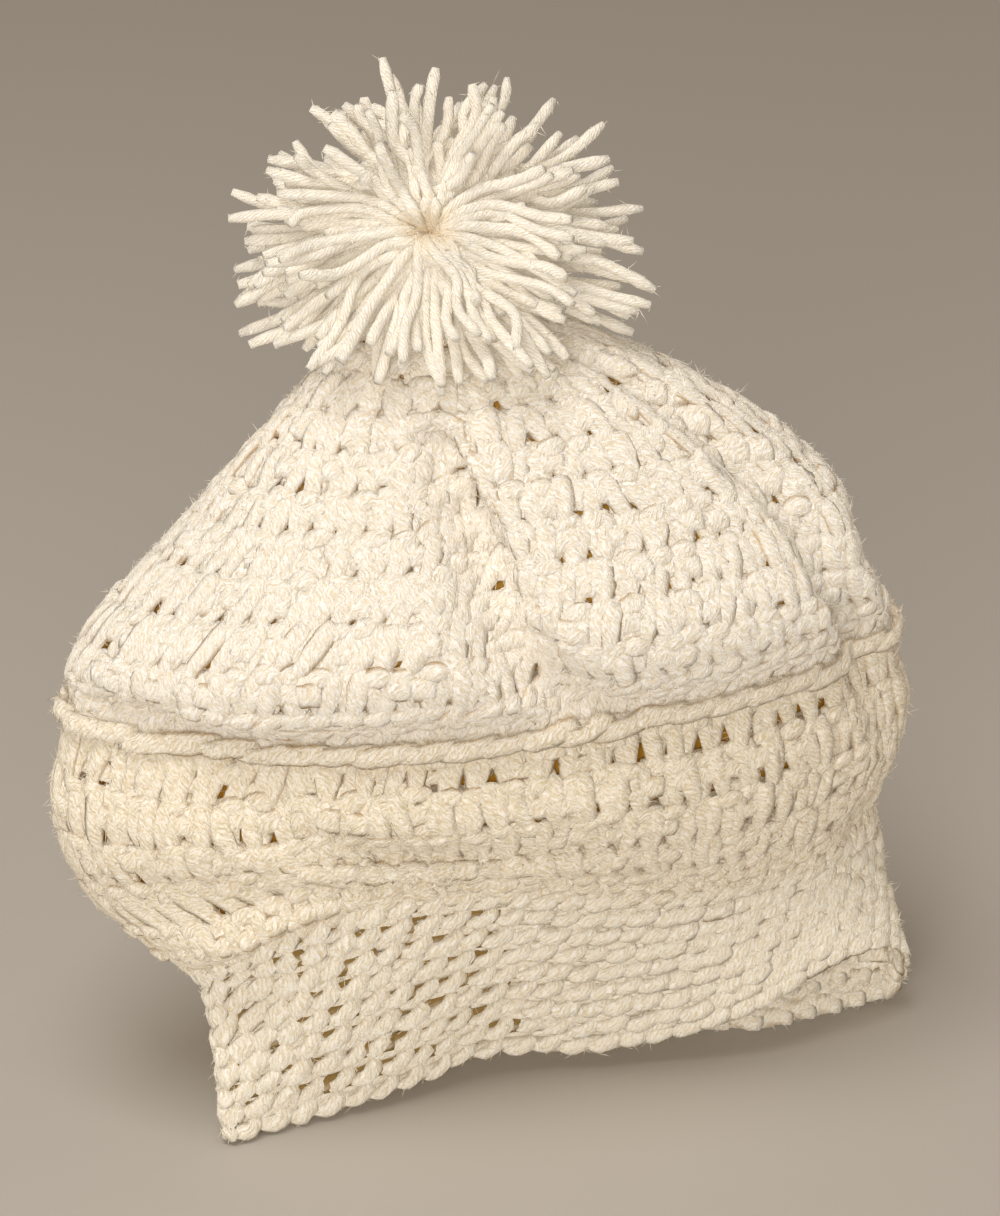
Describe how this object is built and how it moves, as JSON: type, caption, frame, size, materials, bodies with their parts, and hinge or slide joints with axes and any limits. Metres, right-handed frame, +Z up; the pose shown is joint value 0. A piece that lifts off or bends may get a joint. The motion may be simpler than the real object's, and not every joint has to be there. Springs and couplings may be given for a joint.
{
  "type": "crocheted beanie",
  "caption": "Slouchy crocheted beanie standing on its ribbed brim, with open double-crochet rounds, a raised chain ridge, a pleated crown and a loose yarn pompom",
  "frame": {"origin": "On the surface that the hem rests on, under the middle of the hat's box", "axes": "+Z up through the pompom, X along the long way of the flattened brim, -Y toward the side with the lifted hem and the pleat"},
  "size_m": [0.2256, 0.1396, 0.2672],
  "materials": {
    "band_yarn": "matte cream acrylic yarn, ribbed single crochet",
    "body_yarn": "matte cream acrylic yarn, open double crochet",
    "crown_yarn": "matte cream acrylic yarn, double crochet",
    "pompom_yarn": "matte cream acrylic yarn, loose cut strands"
  },
  "bodies": {
    "root": {"band": "band_yarn", "body": "body_yarn", "ridge": "body_yarn", "crown": "crown_yarn", "pompom": "pompom_yarn"}
  },
  "joints": []
}
